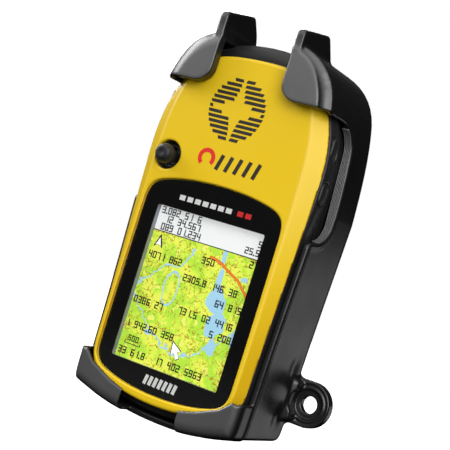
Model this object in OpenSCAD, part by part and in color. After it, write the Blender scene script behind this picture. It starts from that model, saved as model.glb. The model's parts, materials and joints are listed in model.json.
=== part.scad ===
// Hand-held GPS navigator seated in its screw-on vehicle cradle.
// Frame: X to the right, front towards -Y, Z along the case. The origin is the centre of the
// four mounting holes, on the cradle's back face. Inside the modules depth is counted from the
// flat front face of the case, and place() moves it to that origin.

/* [Case] */
// Depth of the navigator from its front face to its back
case_depth = 30; // [28:0.5:33]
// Depth of the yellow edge that shows at the side
cover_edge = 3.7; // [3.2:0.1:3.9]
// Wall thickness of the case shells
case_wall = 1.6; // [1.2:0.1:2]
// Width of the visible screen
screen_w = 34.4; // [30:0.2:35]
// Height of the visible screen
screen_h = 43; // [38:0.5:44]

/* [Cradle] */
// Thickness of the cradle's side walls
wall = 1.8; // [1.6:0.1:1.9]
// Thickness of the cradle's back plate
plate = 2.6; // [2:0.1:4]
// Gap between the navigator's back and the back plate
back_gap = 0.4; // [0.3:0.1:1]
// Height at which the spring arms leave the cradle
arm_root_z = 27; // [26:0.5:28]
// Height of the thumb tabs' tops
tab_top_z = 78.2; // [77:0.2:79]

/* [Mounting] */
// Hole spacing across the back plate
hole_dx = 30; // [28:1:32]
// Hole spacing along the back plate
hole_dz = 38; // [36:1:40]
// Radius of the mounting holes
hole_r = 2.2; // [1.8:0.1:2.4]
// Radius of the ear's hole
ear_hole_r = 2.4; // [1.5:0.1:2.6]

/* [Controls] */
// Travel of the side keys
key_travel = 0.5; // [0.3:0.1:0.5]
// Radius of the click stick's hole
stick_hole_r = 4.1; // [4:0.1:4.4]
// Radius of the click stick's ball
stick_ball_r = 2.8; // [2.2:0.1:3]

/* [Power] */
// Diameter of an AA battery
cell_d = 14.2; // [13.5:0.1:14.3]
// Length of an AA battery
cell_len = 50; // [49:0.5:50.5]

/* [Hidden] */
$fn = 48;
eps = 0.01;

// Outlines in the XZ plane: right halves as chains of cubic curves, bottom to top
curve_steps = 5;
cover_line = [[0, -31], [7, -31], [14, -29.8], [19.5, -27.6], [22.8, -26.2], [24.6, -23.5],
    [24.8, -19], [25.2, 0], [26.4, 20], [26.8, 38], [26.8, 47], [25, 56.5],
    [18.5, 63], [13.5, 66], [7, 66.5], [0, 66.5]];
face_line = [[0, -30.5], [7, -30.5], [14, -29.3], [18.6, -27.2], [21.4, -25.8], [22.6, -23],
    [22.7, -19], [23.1, 5], [23, 22], [22.4, 38], [22, 47], [21.2, 56],
    [16.5, 62.5], [12.5, 65.2], [7, 65.8], [0, 65.8]];
band_line = [[0, -33], [8, -33], [14, -32.2], [19.5, -30.2], [22.4, -28.9], [24.5, -25.4],
    [24.8, -19], [25.3, 5], [25.7, 17], [26.3, 25], [28.3, 38], [28.3, 49],
    [23.4, 57.5], [20.3, 66.4], [13, 71.1], [0, 71.1]];
rear_line = [[0, -32.4], [8, -32.4], [14, -31.6], [19, -29.6], [22.2, -28.2], [24.3, -24.6],
    [24.6, -19], [25, 5], [25.2, 20], [25.4, 36], [25.4, 47], [24.2, 54],
    [21.6, 60], [18, 67.5], [11, 69.6], [0, 69.6]];
cradle_line = [[0, -35.5], [8, -35.5], [14, -34.8], [20, -33.2], [24.6, -31.8], [26.6, -28],
    [26.9, -20], [27.3, 0], [28.1, 15], [28.7, 31.5], [28.3, 42], [27.6, 52],
    [25.4, 60.2], [22.5, 70], [14, 73.6], [0, 73.8]];
lens_line = [[0, -28.2], [7, -28.2], [13, -27.4], [18, -25.6], [20.5, -24.7], [21.7, -23],
    [21.8, -20], [21.9, -8], [21.9, 8], [21.8, 22], [21.7, 26], [20.5, 27.4],
    [17.5, 28.4], [12, 30], [6, 30.5], [0, 30.5]];

// Depths, counted from the front face
back_y = case_depth + back_gap + plate;
rim_y = 5.2;
petal_y = -3.8;
petal_rear_y = -0.4;
lip_y = -1.5;
band_y = [cover_edge + 0.1, 9.3];
skirt_end_y = 8.4;
gasket_y = [8.45, 9.35];
housing_y = 9.4;
board_y = [7.5, 8.7];
lens_y = [0.15, 1.3];
mask_t = 0.3;
straight_edge = 0.3;
bay_floor_y = [12.7, 13.9];
skin_y = case_depth - 1.8;

panel_y = [1.65, 3.2];
light_y = 5.4;
flex_w = 7;
flex_y = 2.4;

// Cradle details
slit = 0.4;
rear_corner_r = 7;
notch_half_w = 12;
window_rear_y = 15.3;
window_z = [21.5, 56];
window_corner_r = 7;
petal_inner_x = 10.7;
petal_bottom_z = 56.4;
petal_corner_r = 5.5;
petal_roll = 2.7;
lip_roll = 1.8;
tab_x = [10.8, 13.4];
tab_rear_y = [17, 10.3];
tab_rise = 1.9;
tab_base_z = 70.9;
lip_inner_x = 8.9;
ear_centre = [31.4, -18.9];
ear_y = [27.6, 30.8];
ear_r = 6.4;
ear_sink_r = 4.2;
ear_sink = 0.9;
ear_web_x = 25.6;
latch_hole_r = 9;
head_r = 3.9;
head_sink = 1.2;

// Controls: side, height of each key; the stick's place on the face
zoom_in_z = 51;
zoom_out_z = 43.5;
menu_z = 29.5;
page_z = 48;
power_z = 36;
key_size = [3.4, 6.2];
key_y = 6.3;
key_gap = 0.25;
key_out = 0.6;
switch_x = [21, 23.1];
stick_at = [-18.5, 35.2];
stick_pivot_y = 4.6;

// Power bay and latch
cell_x = 7.6;
cell_y = 21.1;
cell_z = -11.4;
bay_x = 15.2;
bay_z = [-15.4, 40.8];
contact_t = 0.4;
door_x = 16;
door_z = [-27.5, 43];
latch_z = -20.6;
latch_catch_y = [26.2, 27.6];
latch_recess_r = 8.8;
latch_recess = 1.15;
latch_bar_y = case_depth - 0.58;
shaft_r = 1.6;
hub_r = 3;
ring_r = [6.5, 8.2];
ring_t = 1;
ring_bar_r = 0.42;
run_gap = 0.08;

// Parts on the main board
patch = 21;
patch_y = [3, 7];
antenna_z = 51;
shield_h = 3;
chip_z = 4;
card_w = 11;
card_len = 14.8;
card_z = 23.4;
card_y = [9.4, 10.3];
round_x = 12;
round_z = -10;

// USB port
usb_z = 51.9;
usb_board_y = [12, 25];
usb_board_z = [47.6, 48.6];
cap_hinge = [29.2, 58];
cap_x = 7;
cap_z = [47, 57.2];

screw_at = [[12, -25.6], [16.9, 55.6]];
screw_head_y = 12;
boss_r = 1.9;

// Points of one cubic curve, leaving out its end
function curve(p, n) = [for (i = [0 : n - 1]) let (t = i / n, s = 1 - t)
    s * s * s * p[0] + 3 * s * s * t * p[1] + 3 * s * t * t * p[2] + t * t * t * p[3]];
function half_line(k) = concat([for (i = [0 : 3 : len(k) - 4])
    each curve([k[i], k[i + 1], k[i + 2], k[i + 3]], curve_steps)], [k[len(k) - 1]]);
function closed_line(h) = concat(h, [for (i = [len(h) - 2 : -1 : 1]) [-h[i][0], h[i][1]]]);
function mid_z(h) = (h[0][1] + h[len(h) - 1][1]) / 2;
function tall(h) = (h[len(h) - 1][1] - h[0][1]) / 2;
function wide(h) = max([for (p = h) p[0]]);
// The outline with every side moved inwards by about d
function inset_line(k, d) = let (h = half_line(k), w = wide(h), m = mid_z(h), t = tall(h))
    closed_line([for (p = h) [p[0] * (w - d) / w, m + (p[1] - m) * (t - d) / t]]);
// Half width of an outline at height z
function half_width(k, z) = let (h = half_line(k))
    lookup(z, [for (p = h) [p[1], p[0]]]);

module place() {
    translate([0, -back_y, 0]) children();
}

// An outline given depth from y0 to y1
module slab(k, d, y0, y1) {
    translate([0, y1, 0]) rotate([90, 0, 0]) linear_extrude(y1 - y0) polygon(inset_line(k, d));
}

// An outline carried through rings, each one a depth and an inset
module loft(k, rings) {
    n = len(inset_line(k, 0));
    last = (len(rings) - 1) * n;
    points = [for (r = rings, p = inset_line(k, r[1])) [p[0], r[0], p[1]]];
    sides = [for (j = [0 : n : last - n], i = [0 : n - 1])
        let (a = j + i, b = j + (i + 1) % n) each [[a, b, b + n], [a, b + n, a + n]]];
    polyhedron(points, concat([[for (i = [n - 1 : -1 : 0]) i]], sides,
        [[for (i = [0 : n - 1]) last + i]]));
}

// Rings of a rear edge at depth y1 rounded with radius r
function rear_rings(d, y1, r) = [for (a = [0 : 22.5 : 90])
    [y1 - r + r * sin(a), d + r * (1 - cos(a))]];
// Rings of a front edge at depth y0 rolled off over the depth r
function front_rings(y0, r) = [[y0, r], [y0 + r / 3, 0.4 * r], [y0 + r, 0]];

// A slab whose rear edge is rounded with radius r
module rounded_slab(k, d, y0, y1, r) {
    loft(k, concat([[y0, d]], rear_rings(d, y1, r)));
}

// The cradle's outside, rounded at the back and rolled off at the front
module cradle_outside(y0, r) {
    loft(cradle_line, concat(front_rings(y0, r), rear_rings(0, back_y, rear_corner_r)));
}

// A cylinder along Y from y0 to y1
module rod_y(x, z, r, y0, y1) {
    translate([x, y1, z]) rotate([90, 0, 0]) cylinder(r = r, h = y1 - y0);
}

// A cylinder along X from x0 to x1
module rod_x(y, z, r, x0, x1) {
    translate([x0, y, z]) rotate([0, 90, 0]) cylinder(r = r, h = x1 - x0);
}

// A box given by its two corners
module box(low, high) {
    translate(low) cube(high - low);
}

// A profile in YZ, given thickness along X from x0 to x1
module across(x0, x1) {
    translate([x0, 0, 0]) rotate([90, 0, 90]) linear_extrude(x1 - x0) children();
}

// A profile in XZ, given depth from y0 to y1
module deep(y0, y1) {
    translate([0, y1, 0]) rotate([90, 0, 0]) linear_extrude(y1 - y0) children();
}

module both_sides() {
    children();
    mirror([1, 0, 0]) children();
}

// ---------------------------------------------------------------- cradle

// Everything in front of the step in the side walls, seen from the side
module window_profile() {
    far = 12;
    s_curve = curve([[rim_y, window_z[0]], [6, 25.4], [13.6, 20.8], [window_rear_y, arm_root_z + 1.6]], 8);
    polygon(concat(s_curve, [[window_rear_y, arm_root_z + 1.6],
        [window_rear_y, window_z[1] - window_corner_r]],
        [for (a = [15 : 15 : 90]) [window_rear_y - window_corner_r * (1 - cos(a)),
            window_z[1] - window_corner_r * (1 - sin(a))]],
        [[-far, window_z[1]], [-far, window_z[0]]]));
}

module cradle_pocket(front_y) {
    rounded_slab(cradle_line, wall, front_y, back_y - plate, rear_corner_r - wall);
}

// Front area left open between and above the lips
module lip_window() {
    far = 60;
    difference() {
        translate([-far, -far]) square(2 * far);
        both_sides() polygon([[lip_inner_x, -29], [14, -27.6], [20.5, -24.8], [23.6, -22],
            [far, -20.6], [far, -far], [lip_inner_x + 1.4, -far], [lip_inner_x, -34]]);
    }
}

// Floor, side walls below the arms, back plate, and the lips that hold the case's lower corners
module lower_shell() {
    cut_z = arm_root_z - slit;
    intersection() {
        difference() {
            cradle_outside(lip_y, lip_roll);
            cradle_pocket(petal_rear_y);
            across(-40, 40) window_profile();
            deep(lip_y - 1, rim_y) lip_window();
        }
        box([-40, -10, -50], [40, 50, cut_z]);
    }
}

// Eyelet on the right rear edge, with the web that ties it to the wall
module ear() {
    rib_back = 2.9;
    rib_rise = 3.4;
    rib_taper = 1.6;
    rod_y(ear_centre[0], ear_centre[1], ear_r, ear_y[0], ear_y[1]);
    box([ear_web_x, ear_y[0], ear_centre[1] - ear_r],
        [ear_centre[0], ear_y[1], ear_centre[1] + ear_r]);
    translate([0, 0, ear_centre[1]]) across(ear_web_x, ear_centre[0] - rib_back) polygon([
        [ear_y[0] - rib_rise, rib_taper - ear_r], [ear_y[0] + 1, 0.2 - ear_r],
        [ear_y[0] + 1, ear_r - 0.2], [ear_y[0] - rib_rise, ear_r - rib_taper]]);
}

// Everything of the lower moulding that lies in front of the back plate's inner face
module cradle_body() color("#1c1c1e") place() difference() {
    union() {
        intersection() {
            lower_shell();
            box([-40, -10, -50], [40, back_y - plate, 40]);
        }
        ear();
    }
    rod_y(ear_centre[0], ear_centre[1], ear_hole_r, ear_y[0] - 8, ear_y[1] + 1);
    rod_y(ear_centre[0], ear_centre[1], ear_sink_r, ear_y[0] - 8, ear_y[0] + ear_sink);
}

// Back plate with the mounting holes and the opening for the battery latch
module cradle_plate() color("#1c1c1e") place() difference() {
    intersection() {
        lower_shell();
        box([-40, back_y - plate, -50], [40, back_y + 1, 40]);
    }
    rod_y(0, latch_z, latch_hole_r, back_y - plate - 1, back_y + 1);
    for (x = [-hole_dx / 2, hole_dx / 2], z = [-hole_dz / 2, hole_dz / 2]) {
        rod_y(x, z, hole_r, back_y - plate - 1, back_y + 1);
        rod_y(x, z, head_r, back_y - plate - 1, back_y - plate + head_sink);
    }
    box([ear_web_x - 1, ear_y[0] - 1, ear_centre[1] - ear_r],
        [ear_centre[0], ear_y[1] + 0.05, ear_centre[1] + ear_r]);
}

// Thumb tab: an upright plate with rounded top corners, its top rising to the rear
module thumb_tab() {
    front_r = 1.6;
    rear_r = 2.6;
    front = petal_y + 0.3;
    hull() across(tab_x[0], tab_x[1]) {
        translate([front + front_r, tab_top_z - tab_rise - front_r]) circle(front_r, $fn = 32);
        translate([tab_rear_y[1], tab_top_z - rear_r]) circle(rear_r, $fn = 32);
        translate([front, tab_base_z]) square([tab_rear_y[0] - front, 0.4]);
    }
}

// Right spring arm: side strip, shoulder over the case's corner, petal and tab
module arm() {
    intersection() {
        difference() {
            cradle_outside(petal_y, petal_roll);
            cradle_pocket(petal_rear_y);
            across(-40, 40) window_profile();
            deep(petal_y - 1, petal_rear_y + eps) petal_window();
        }
        box([notch_half_w, petal_y - 1, arm_root_z], [40, 50, 80]);
    }
    intersection() {
        difference() {
            loft(cradle_line, concat(front_rings(petal_y, petal_roll), [[tab_rear_y[0], 0]]));
            slab(cradle_line, wall, petal_rear_y, tab_rear_y[0] + 1);
            deep(petal_y - 1, petal_rear_y + eps) petal_window();
        }
        box([petal_inner_x, petal_y - 1, petal_bottom_z], [notch_half_w + 1, 50, 80]);
    }
    thumb_tab();
}

// Front area left open between and below the petals
module petal_window() {
    far = 60;
    difference() {
        translate([-far, -far]) square(2 * far);
        translate([petal_inner_x + petal_corner_r, petal_bottom_z + petal_corner_r])
            circle(petal_corner_r);
        translate([petal_inner_x, petal_bottom_z + petal_corner_r]) square(far);
        translate([petal_inner_x + petal_corner_r, petal_bottom_z]) square(far);
    }
}

module arm_right() color("#202022") place() arm();

module arm_left() color("#202022") place() mirror([1, 0, 0]) arm();

// ---------------------------------------------------------------- controls

// The block of one side key, on the right side; grow widens it for its slot
module key_block(z, x0, x1, grow) {
    half_y = key_size[0] / 2 + grow;
    r = 1.2;
    translate([x0, key_y, z]) rotate([90, 0, 90]) linear_extrude(x1 - x0) {
        for (s = [-1, 1]) translate([0, s * (key_size[1] / 2 - half_y + grow)]) circle(half_y);
        square([2 * half_y, key_size[1] - 2 * (half_y - grow)], center = true);
    }
}

module key_slots() {
    for (z = [page_z, power_z]) key_block(z, 15, 35, key_gap);
    mirror([1, 0, 0]) for (z = [zoom_in_z, zoom_out_z, menu_z]) key_block(z, 15, 35, key_gap);
}

module side_key(z) {
    key_block(z, switch_x[1] + 0.5 + key_travel + 0.1, half_width(band_line, z) + key_out, 0);
}

module key_page() color("#2c2c30") place() side_key(page_z);

module key_power() color("#2c2c30") place() side_key(power_z);

module key_zoom_in() color("#2c2c30") place() mirror([1, 0, 0]) side_key(zoom_in_z);

module key_zoom_out() color("#2c2c30") place() mirror([1, 0, 0]) side_key(zoom_out_z);

module key_menu() color("#2c2c30") place() mirror([1, 0, 0]) side_key(menu_z);

module tact_switch(z) {
    body_h = 3.6;
    box([switch_x[0], board_y[0] - 2.6, z - body_h / 2], [switch_x[1], board_y[0], z + body_h / 2]);
    rod_x(key_y - 0.1, z, 0.7, switch_x[1] - eps, switch_x[1] + 0.5);
}

module key_switches() color("#9a9a9a") place() {
    for (z = [page_z, power_z]) tact_switch(z);
    mirror([1, 0, 0]) for (z = [zoom_in_z, zoom_out_z, menu_z]) tact_switch(z);
}

// Fixed housing of the five-way switch, open at the front
module stick_switch() color("#8d8d92") place() difference() {
    half = 3;
    box([stick_at[0] - half, 4.4, stick_at[1] - half], [stick_at[0] + half, board_y[0], stick_at[1] + half]);
    rod_y(stick_at[0], stick_at[1], 2.5, 4.3, 6.9);
}

// Disc that slides in when the stick is pressed
module stick_plunger() color("#5a5a5e") place() {
    rod_y(stick_at[0], stick_at[1], 2.3, 5.75, 6.35);
}

// Ring that tilts up and down on the plunger
module stick_rocker() color("#77777c") place() difference() {
    rod_y(stick_at[0], stick_at[1], 2.1, 4.9, 5.35);
    rod_y(stick_at[0], stick_at[1], 1.2, 4.8, 5.45);
}

// Stem and ball that the thumb moves
module stick_knob() color("#242224") place() {
    rod_y(stick_at[0], stick_at[1], 1, 4.9, 5.3);
    rod_y(stick_at[0], stick_at[1], 1.5, -1, 4.7);
    rod_y(stick_at[0], stick_at[1], 1, 4.6, 5);
    translate([stick_at[0], -1.1, stick_at[1]]) sphere(stick_ball_r);
}

module stick_seal() color("#141414") place() difference() {
    rod_y(stick_at[0], stick_at[1], stick_hole_r + 1.2, case_wall + 0.2, case_wall + 0.8);
    rod_y(stick_at[0], stick_at[1], 2.6, 0, 4);
}

// ---------------------------------------------------------------- case

module screw_bosses(r, y0, y1) {
    both_sides() for (p = screw_at) rod_y(p[0], p[1], r, y0, y1);
}

// Flat face and the slanted band around it, down to the straight edge
module bevelled_face() {
    hull() {
        slab(face_line, 0, 0, eps);
        slab(cover_line, 0, cover_edge - straight_edge, cover_edge);
    }
}

module front_cover() color("#f2c40f") place() difference() {
    union() {
        difference() {
            union() {
                bevelled_face();
                slab(cover_line, 1.5, cover_edge - eps, skirt_end_y);
            }
            slab(cover_line, 3, case_wall, skirt_end_y + 1);
        }
        screw_bosses(boss_r, case_wall - eps, housing_y - 0.05);
    }
    slab(lens_line, 0, -1, lens_y[1]);
    box([-screen_w / 2 - 1, 0, -screen_h / 2 - 1], [screen_w / 2 + 1, 4, screen_h / 2 + 1]);
    rod_y(stick_at[0], stick_at[1], stick_hole_r, -1, case_wall + 1);
    screw_bosses(0.8, 3, 10);
    key_slots();
}

module lens() color("#0a0a0c", 0.5) place() {
    slab(lens_line, 0.15, lens_y[0], lens_y[1] - mask_t - eps);
}

module lens_mask() color("#0a0a0a") place() difference() {
    slab(lens_line, 0.3, lens_y[1] - mask_t, lens_y[1]);
    box([-screen_w / 2, 0, -screen_h / 2], [screen_w / 2, 4, screen_h / 2]);
}

module side_band() color("#161617") place() difference() {
    slab(band_line, 0, band_y[0], band_y[1]);
    slab(cover_line, 1.45, band_y[0] - 1, band_y[1] + 1);
    key_slots();
}

// Ring seal that passes on the inner side of the screw bosses
module case_gasket() color("#303030") place() intersection() {
    outer = 1.7;
    ring_w = 1.1;
    difference() {
        union() {
            difference() {
                slab(cover_line, outer, gasket_y[0], gasket_y[1]);
                slab(cover_line, outer + ring_w, gasket_y[0] - 1, gasket_y[1] + 1);
            }
            screw_bosses(boss_r + ring_w, gasket_y[0], gasket_y[1]);
        }
        screw_bosses(boss_r + 0.05, gasket_y[0] - 1, gasket_y[1] + 1);
    }
    slab(cover_line, outer, gasket_y[0] - 1, gasket_y[1] + 1);
}

module rear_outside() {
    rounded_slab(rear_line, 0, housing_y, case_depth, 6.5);
}

module rear_inside() {
    rounded_slab(rear_line, case_wall + 0.2, housing_y + 1.4, skin_y, 5);
}

// Walls left standing in the cavity: battery bay, latch catch, USB pocket and screw columns
module bay_walls() {
    t = 1.2;
    far_y = case_depth + 5;
    box([-bay_x - t, bay_floor_y[0], bay_z[0] - t], [bay_x + t, far_y, bay_z[1] + t]);
    box([-6, latch_catch_y[0], latch_z - 20], [6, latch_catch_y[1], bay_z[0]]);
    box([-9, 26.4, 45.6], [9, far_y, 60.4]);
    screw_bosses(3, housing_y, far_y);
}

module rear_housing() color("#1a1a1b") place() difference() {
    rear_outside();
    difference() {
        union() {
            rear_inside();
            slab(cover_line, 3.7, housing_y - 1, housing_y + 2);
        }
        bay_walls();
    }
    box([-bay_x, bay_floor_y[1], bay_z[0]], [bay_x, case_depth + 1, bay_z[1]]);
    box([-door_x, skin_y, door_z[0]], [door_x, case_depth + 1, door_z[1]]);
    box([-7.4, 10, 22], [7.4, 20, 38.4]);
    rod_y(0, latch_z, 2.2, 20, 29);
    rod_y(0, latch_z, latch_recess_r, case_depth - latch_recess, case_depth + 1);
    box([-3.9, 20, latch_z - 1.5], [3.9, 29, latch_z + 1.5]);
    box([-cap_x - 0.3, case_depth - 1.75, cap_z[0] - 0.3], [cap_x + 0.3, 31, cap_hinge[1] + 1.6]);
    box([-4.9, 24, usb_z - 3.4], [4.9, 29, usb_z + 2.9]);
    screw_bosses(1.1, 6, 40);
    screw_bosses(2.1, screw_head_y, 40);
}

module case_screws() color("#b8b8ba") place() both_sides() for (p = screw_at) {
    shank_r = 0.78;
    head_r = 1.9;
    head_h = 1.4;
    rod_y(p[0], p[1], shank_r, 4, screw_head_y);
    rod_y(p[0], p[1], head_r, screw_head_y, screw_head_y + head_h);
}

// ---------------------------------------------------------------- display

// A plate as large as the panel, with a ledge above the screen for the driver
module panel_plate(y0, y1, grow) {
    edge = 1.4;
    ledge = 2.6;
    box([-screen_w / 2 - edge - grow, y0, -screen_h / 2 - edge - grow],
        [screen_w / 2 + edge + grow, y1, screen_h / 2 + ledge + grow]);
}

module lcd_panel() color("#a9d64f") place() panel_plate(panel_y[0], panel_y[1], 0);

module lcd_backlight() color("#e8e8e8") place() panel_plate(panel_y[1] + 0.05, light_y, 0);

// Metal tray around the panel and the backlight
module lcd_frame() color("#a0a3a6") place() difference() {
    sheet = 0.3;
    slack = 0.05;
    panel_plate(panel_y[0] + 0.3, light_y + 0.1 + sheet, slack + sheet);
    panel_plate(panel_y[0] - 1, light_y + 0.1, slack);
    box([-flex_w / 2 - 0.5, panel_y[0] - 1, 0], [flex_w / 2 + 0.5, panel_y[1], screen_h]);
}

// Ribbon from the panel's ledge down to the board
module lcd_flex() color("#c87f28") place() {
    film = 0.2;
    reach = 2.2;
    top = screen_h / 2 + 2.6;
    box([-flex_w / 2, flex_y, top], [flex_w / 2, flex_y + film, top + reach]);
    box([-flex_w / 2, flex_y, top + reach - film], [flex_w / 2, board_y[0], top + reach]);
}

// ---------------------------------------------------------------- electronics

module main_board() color("#1e6b3a") place() difference() {
    slab(cover_line, 4.2, board_y[0], board_y[1]);
    screw_bosses(3.1, 5, 12);
}

// Square ceramic patch behind the upper face
module gps_antenna() color("#c9b48c") place() {
    box([-patch / 2, patch_y[0], antenna_z - patch / 2],
        [patch / 2, patch_y[1], antenna_z + patch / 2]);
}

// Tinned plate under the patch, soldered over the board's edge
module antenna_ground() color("#c8c8c8") place() {
    half = 12.5;
    sheet = 0.4;
    front = patch_y[1] + 0.05;
    box([-half, front, antenna_z - 12], [half, front + sheet, antenna_z + 11]);
}

// Drawn can over the receiver, open towards the board
module rf_shield() color("#b9bcc0") place() difference() {
    sheet = 0.4;
    low = [-13.2, board_y[1], 41];
    high = low + [15.2, shield_h, 15];
    box(low, high);
    box(low + [sheet, -1, sheet], high - [sheet, sheet, sheet]);
}

// A flat package lying on the board's back, from its corner, width, height and thickness
module on_board(corner, w, h, t) {
    box([corner[0], board_y[1], corner[1]], [corner[0] + w, board_y[1] + t, corner[1] + h]);
}

module processor() color("#19191b") place() {
    on_board([-6, chip_z], 12, 12, 10 - board_y[1]);
}

module memory_chip() color("#19191b") place() {
    on_board([8, chip_z], 8, 10, 9.8 - board_y[1]);
}

// Sheet-metal card socket, open at its upper end
module card_socket() color("#c2c4c7") place() difference() {
    on_board([-card_w / 2 - 1.7, card_z - 1.2], card_w + 3.4, card_len + 0.6, 10.8 - board_y[1]);
    box([-card_w / 2 - 0.3, card_y[0] - 0.2, card_z - 0.2],
        [card_w / 2 + 0.3, card_y[1] + 0.2, card_z + card_len]);
}

// Memory card, standing a little out of its socket
module memory_card() color("#101012") place() {
    box([-card_w / 2, card_y[0], card_z], [card_w / 2, card_y[1], card_z + card_len]);
}

// Pin header that carries the upright port board
module usb_header() color("#101012") place() {
    on_board([4, usb_board_z[0] - 1], 8, 2.4, usb_board_y[0] - board_y[1]);
}

module usb_board() color("#1e6b3a") place() {
    box([-6, usb_board_y[0], usb_board_z[0]], [13, usb_board_y[1], usb_board_z[1]]);
}

// Shell of the mini socket, open towards the back
module usb_connector() color("#c9cbce") place() difference() {
    half = 3.9;
    sheet = 0.4;
    top = usb_z + 1.9;
    box([-half, 17, usb_board_z[1]], [half, 26, top]);
    box([-half + sheet, 18, usb_board_z[1] + sheet], [half - sheet, 27, top - sheet]);
}

// Rubber flap with its plug and hinge roll
module usb_cap() color("#1b1b1b") place() {
    flap = 1.4;
    plug = [4.3, 2.4];
    roll_r = 0.8;
    box([-cap_x, case_depth - flap, cap_z[0]], [cap_x, case_depth, cap_hinge[1]]);
    box([-plug[0], 26.8, usb_z - plug[1]], [plug[0], case_depth - flap + eps, usb_z + plug[1]]);
    rod_x(cap_hinge[0], cap_hinge[1], roll_r, -cap_x, cap_x);
}

module beeper() color("#151515") place() {
    rod_y(round_x, round_z, 5.5, board_y[1], 10.8);
}

module backup_cell() color("#c4c6c8") place() {
    rod_y(-round_x, round_z, 4.8, board_y[1], 10.9);
}

// ---------------------------------------------------------------- power

// One AA cell standing along Z, its raised contact at the top or the bottom
module aa_cell(x, flip) {
    pip = 1;
    pip_d = 5.4;
    translate([x, cell_y, cell_z + (flip ? cell_len : 0)]) mirror([0, 0, flip ? 1 : 0]) {
        cylinder(d = cell_d, h = cell_len - pip);
        cylinder(d = pip_d, h = cell_len);
    }
}

module battery_left() color("#3d6f9c") place() aa_cell(-cell_x, false);

module battery_right() color("#3d6f9c") place() aa_cell(cell_x, true);

// Contact springs under the cells, wound close
module battery_springs() color("#d0d0d2") place() {
    wire_r = 0.45;
    turns = 4;
    foot_z = bay_z[0] + contact_t;
    pitch = (cell_z - foot_z - 2 * wire_r) / (turns - 1);
    for (x = [-cell_x, cell_x], i = [0 : turns - 1])
        translate([x, cell_y, foot_z + wire_r + i * pitch])
            rotate_extrude() translate([4.4 - 0.5 * i, 0]) circle(wire_r, $fn = 24);
    for (x = [-cell_x, cell_x])
        translate([x + 2.6, cell_y - 0.3, foot_z]) cube([2, 0.6, cell_z - foot_z - 0.2]);
}

// Plates at both ends of the bay
module battery_contacts() color("#d6d6d8") place() {
    half = 5.5;
    y = [15.4, 27.4];
    for (x = [-cell_x, cell_x], z = [bay_z[0], bay_z[1] - contact_t])
        box([x - half, y[0], z], [x + half, y[1], z + contact_t]);
}

module battery_door() color("#1d1d1f") place() difference() {
    gap = 0.15;
    floor_y = case_depth - latch_recess;
    intersection() {
        rear_outside();
        box([-door_x + gap, skin_y + gap, door_z[0] + gap],
            [door_x - gap, case_depth + 1, door_z[1] - gap]);
    }
    rod_y(0, latch_z, latch_recess_r, floor_y, case_depth + 1);
    rod_y(0, latch_z, shaft_r + run_gap, skin_y - 1, case_depth + 1);
}

module door_seal() color("#3a3a3a") place() difference() {
    t = 1;
    box([-bay_x, skin_y - 0.6, bay_z[0]], [bay_x, skin_y, bay_z[1]]);
    box([-bay_x + t, skin_y - 1, bay_z[0] + t], [bay_x - t, skin_y + 1, bay_z[1] - t]);
}

// Quarter-turn hub: shaft with a cross bar inside, and the ring's bearing outside
module latch_knob() color("#2a2a2c") place() difference() {
    inner_y = 24.8;
    bolt = [3.6, 1.2];
    union() {
        rod_y(0, latch_z, shaft_r, inner_y, case_depth - 0.9);
        rod_y(0, latch_z, hub_r, case_depth - latch_recess + 0.05, case_depth - 0.05);
        box([-bolt[0], inner_y, latch_z - bolt[1]], [bolt[0], inner_y + 1.2, latch_z + bolt[1]]);
    }
    rod_x(latch_bar_y, latch_z, ring_bar_r + run_gap, -5, 5);
}

// Half-round pull ring with its straight bar through the hub
module latch_ring() color("#3a3a3c") place() {
    clear = 20;
    rod_x(latch_bar_y, latch_z, ring_bar_r, -ring_r[0] - 0.5, ring_r[0] + 0.5);
    translate([0, latch_bar_y, latch_z]) rotate([90, 0, 0])
        translate([0, 0, -ring_t / 2]) linear_extrude(ring_t) difference() {
            circle(ring_r[1]);
            circle(ring_r[0]);
            translate([-clear, -clear]) square([2 * clear, clear]);
        }
}

cradle_body();
cradle_plate();
arm_left();
arm_right();
front_cover();
lens();
lens_mask();
side_band();
case_gasket();
rear_housing();
case_screws();
lcd_panel();
lcd_backlight();
lcd_frame();
lcd_flex();
main_board();
gps_antenna();
antenna_ground();
rf_shield();
processor();
memory_chip();
card_socket();
memory_card();
usb_header();
usb_board();
usb_connector();
usb_cap();
beeper();
backup_cell();
key_switches();
stick_switch();
stick_plunger();
stick_rocker();
stick_knob();
stick_seal();
key_zoom_in();
key_zoom_out();
key_menu();
key_page();
key_power();
battery_left();
battery_right();
battery_springs();
battery_contacts();
battery_door();
door_seal();
latch_knob();
latch_ring();
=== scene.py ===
# Looks for the hand-held GPS navigator in its vehicle cradle.
# Shapes are worked out in millimetres: x to the right, y the depth behind the flat front face,
# z along the case. Everything is moved to the row frame when it becomes a Blender mesh.
import json
import math

import bmesh
import bpy
import numpy as np
from mathutils import Matrix, Vector


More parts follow.
